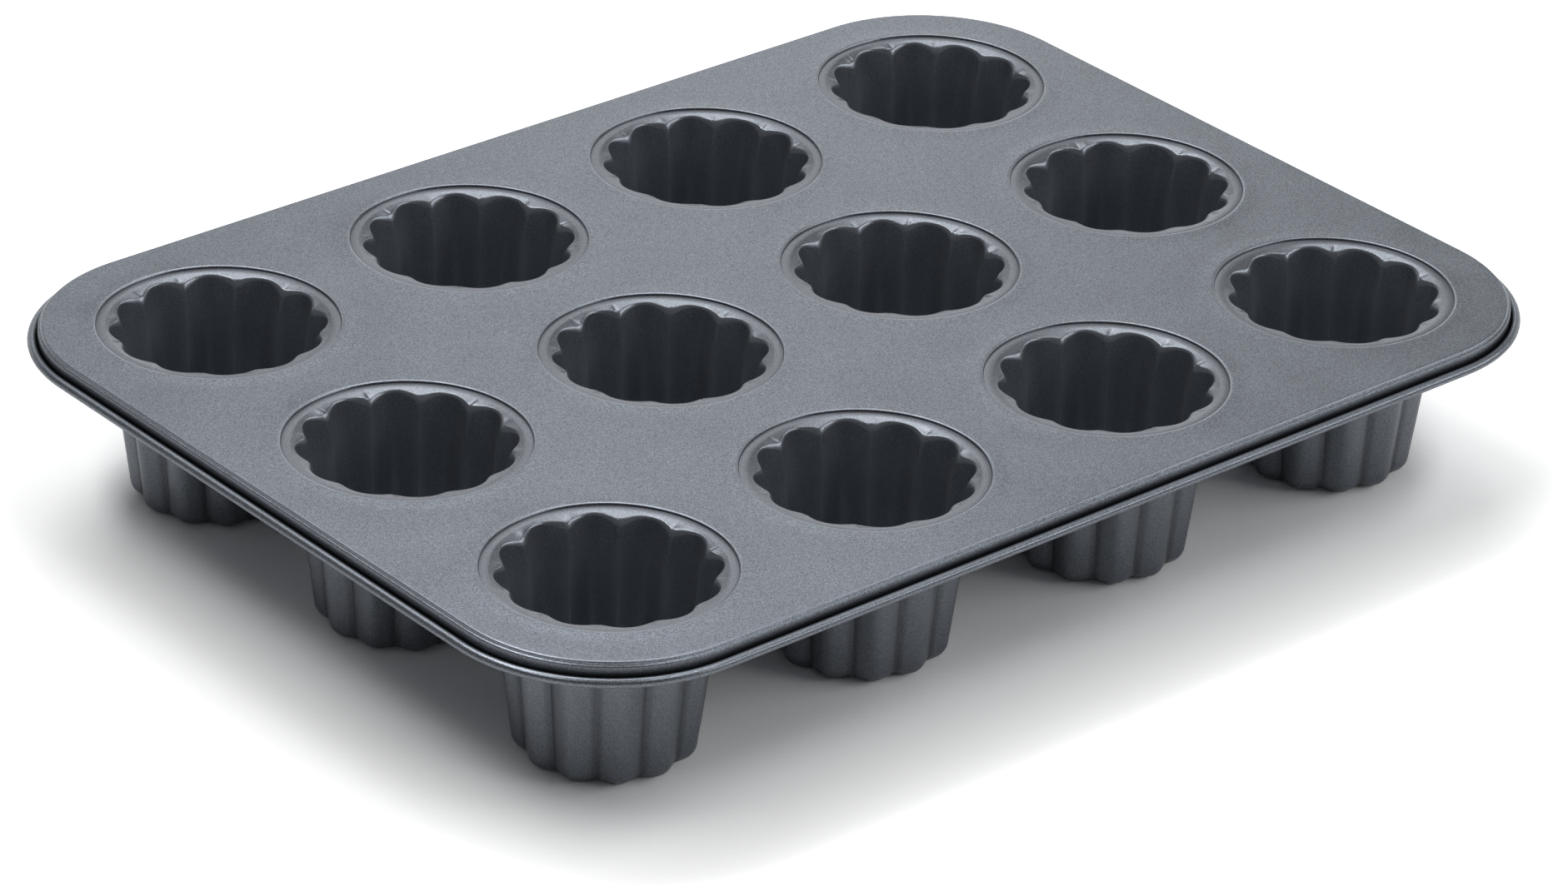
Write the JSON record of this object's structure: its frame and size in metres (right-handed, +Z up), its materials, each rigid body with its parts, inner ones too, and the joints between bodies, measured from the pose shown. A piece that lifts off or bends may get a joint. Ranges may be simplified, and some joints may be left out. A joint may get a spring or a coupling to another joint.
{
  "type": "canele mould",
  "caption": "Non-stick canele mould: a flat tray with rounded corners and a rolled rim carrying deep tapered fluted cups.",
  "frame": {"origin": "on the table, under the middle of the tray", "axes": "+X along the tray's long side with four cups, +Y along its short side with three cups, +Z up out of the cups' mouths"},
  "size_m": [0.3306, 0.2496, 0.048],
  "materials": {
    "tray_coating": "dark blue-grey metallic non-stick coating on pressed steel, satin, finely speckled",
    "cup_coating": "dark blue-grey metallic non-stick coating on deep drawn steel, satin, a little smoother than the tray"
  },
  "bodies": {
    "root": {"tray": "tray_coating", "cup_1_1": "cup_coating", "cup_1_2": "cup_coating", "cup_1_3": "cup_coating", "cup_1_4": "cup_coating", "cup_2_1": "cup_coating", "cup_2_2": "cup_coating", "cup_2_3": "cup_coating", "cup_2_4": "cup_coating", "cup_3_1": "cup_coating", "cup_3_2": "cup_coating", "cup_3_3": "cup_coating", "cup_3_4": "cup_coating"}
  },
  "joints": []
}
